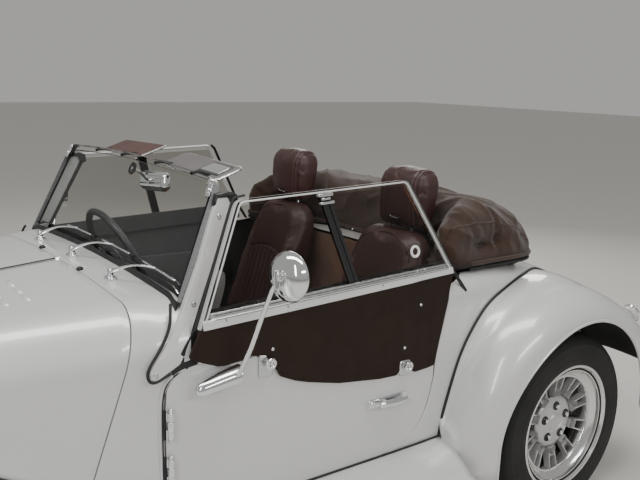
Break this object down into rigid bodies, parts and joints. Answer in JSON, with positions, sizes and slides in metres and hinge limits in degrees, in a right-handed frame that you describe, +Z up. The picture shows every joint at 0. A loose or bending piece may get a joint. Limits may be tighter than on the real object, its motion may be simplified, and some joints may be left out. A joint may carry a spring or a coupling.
{
  "type": "two-seat open roadster",
  "caption": "Open two-seat roadster with sweeping separate wings, running boards, detachable side screens and a folded hood.",
  "frame": {"origin": "on the ground at the middle of the car's length and width", "axes": "+X towards the front of the car, +Y to its left, +Z up"},
  "size_m": [3.828, 1.65, 1.206],
  "materials": {
    "body_paint": "gloss",
    "pillar_paint": "gloss",
    "chassis_paint": "satin",
    "engine_iron": "matte",
    "knuckle_iron": "matte",
    "exhaust_steel": "satin",
    "chrome_trim": "polished",
    "grille_black": "matte",
    "frame_alloy": "satin",
    "clear_glass": "clear",
    "panel_vinyl": "satin",
    "seat_leather": "satin",
    "trim_leather": "satin",
    "dash_grey": "matte",
    "carpet_brown": "matte",
    "hood_canvas": "matte",
    "visor_vinyl": "satin",
    "lamp_lens": "gloss",
    "plate_white": "gloss",
    "tyre_rubber": "matte",
    "wheel_alloy": "satin"
  },
  "bodies": {
    "car_body": {"body_hinges": "chrome_trim", "chassis": "chassis_paint", "dashboard": "dash_grey", "engine": "engine_iron", "engine_bay_sides": "body_paint", "exhaust": "exhaust_steel", "floor": "carpet_brown", "front_bumper": "chrome_trim", "front_suspension": "chassis_paint", "front_wing_left": "body_paint", "front_wing_right": "body_paint", "fuel_tank": "chassis_paint", "headlamps": "chrome_trim", "hood_cover": "hood_canvas", "interior_mirror": "chrome_trim", "number_plates": "plate_white", "radiator": "grille_black", "radiator_cowl": "body_paint", "rear_axle": "chassis_paint", "rear_body": "body_paint", "rear_bumper": "chrome_trim", "rear_wing_left": "body_paint", "rear_wing_right": "body_paint", "scuttle": "body_paint", "seat_left": "seat_leather", "seat_right": "seat_leather", "steering_column": "chassis_paint", "sun_visors": "visor_vinyl", "tail_lamps": "lamp_lens", "tunnel": "trim_leather", "windscreen_frame": "frame_alloy", "windscreen_glass": "clear_glass", "windscreen_pillars": "pillar_paint", "wipers": "chrome_trim"},
    "bonnet_lid_left": {"bonnet_left": "body_paint"},
    "bonnet_lid_right": {"bonnet_right": "body_paint"},
    "boot": {"boot_lid": "body_paint"},
    "steering": {"steering_wheel": "dash_grey"},
    "side_door_left": {"door_left": "body_paint", "door_fittings_left": "chrome_trim", "sidescreen_frame_left": "frame_alloy", "sidescreen_glass_left": "clear_glass", "sidescreen_panel_left": "panel_vinyl", "mirror_left": "chrome_trim"},
    "steered_left": {"knuckle_left": "knuckle_iron"},
    "roadwheel_front_left": {"tyre_front_left": "tyre_rubber", "wheel_front_left": "wheel_alloy"},
    "roadwheel_rear_left": {"tyre_rear_left": "tyre_rubber", "wheel_rear_left": "wheel_alloy"},
    "side_door_right": {"door_right": "body_paint", "door_fittings_right": "chrome_trim", "sidescreen_frame_right": "frame_alloy", "sidescreen_glass_right": "clear_glass", "sidescreen_panel_right": "panel_vinyl", "mirror_right": "chrome_trim"},
    "steered_right": {"knuckle_right": "knuckle_iron"},
    "roadwheel_front_right": {"tyre_front_right": "tyre_rubber", "wheel_front_right": "wheel_alloy"},
    "roadwheel_rear_right": {"tyre_rear_right": "tyre_rubber", "wheel_rear_right": "wheel_alloy"}
  },
  "joints": [
    {"name": "steer_left", "type": "hinge", "parent": "car_body", "child": "steered_left", "pos_m": [1.385, 0.59, 0.3135], "axis": [0, 0, 1], "range_deg": [-32, 32]},
    {"name": "steer_right", "type": "hinge", "parent": "car_body", "child": "steered_right", "pos_m": [1.385, -0.59, 0.3135], "axis": [0, 0, 1], "range_deg": [-32, 32]},
    {"name": "steering_wheel_turn", "type": "hinge", "parent": "car_body", "child": "steering", "pos_m": [-0.04, -0.3, 0.8], "axis": [0.922, 0, -0.3872], "range_deg": [-520, 520]},
    {"name": "spin_front_left", "type": "hinge", "parent": "steered_left", "child": "roadwheel_front_left", "pos_m": [1.385, 0.672, 0.3135], "axis": [0, 1, 0], "continuous": true},
    {"name": "spin_rear_left", "type": "hinge", "parent": "car_body", "child": "roadwheel_rear_left", "pos_m": [-1.135, 0.672, 0.3135], "axis": [0, 1, 0], "continuous": true},
    {"name": "spin_front_right", "type": "hinge", "parent": "steered_right", "child": "roadwheel_front_right", "pos_m": [1.385, -0.672, 0.3135], "axis": [0, 1, 0], "continuous": true},
    {"name": "spin_rear_right", "type": "hinge", "parent": "car_body", "child": "roadwheel_rear_right", "pos_m": [-1.135, -0.672, 0.3135], "axis": [0, 1, 0], "continuous": true},
    {"name": "door_swing_left", "type": "hinge", "parent": "car_body", "child": "side_door_left", "pos_m": [0.219, 0.608, 0.5425], "axis": [0, 0, -1], "range_deg": [0, 65]},
    {"name": "bonnet_lift_left", "type": "hinge", "parent": "car_body", "child": "bonnet_lid_left", "pos_m": [0.29, 0, 0.899], "axis": [0.9968, 0, -0.0797], "range_deg": [0, 60]},
    {"name": "door_swing_right", "type": "hinge", "parent": "car_body", "child": "side_door_right", "pos_m": [0.219, -0.608, 0.5425], "axis": [0, 0, 1], "range_deg": [0, 65]},
    {"name": "bonnet_lift_right", "type": "hinge", "parent": "car_body", "child": "bonnet_lid_right", "pos_m": [0.29, 0, 0.899], "axis": [-0.9968, 0, 0.0797], "range_deg": [0, 60]},
    {"name": "boot_lift", "type": "hinge", "parent": "car_body", "child": "boot", "pos_m": [-1.273, 0, 0.8045], "axis": [0, 1, 0], "range_deg": [0, 60]}
  ],
  "couplings": [
    {"joint": "steer_right", "follows": "steer_left", "ratio": 1},
    {"joint": "steering_wheel_turn", "follows": "steer_left", "ratio": -16}
  ]
}
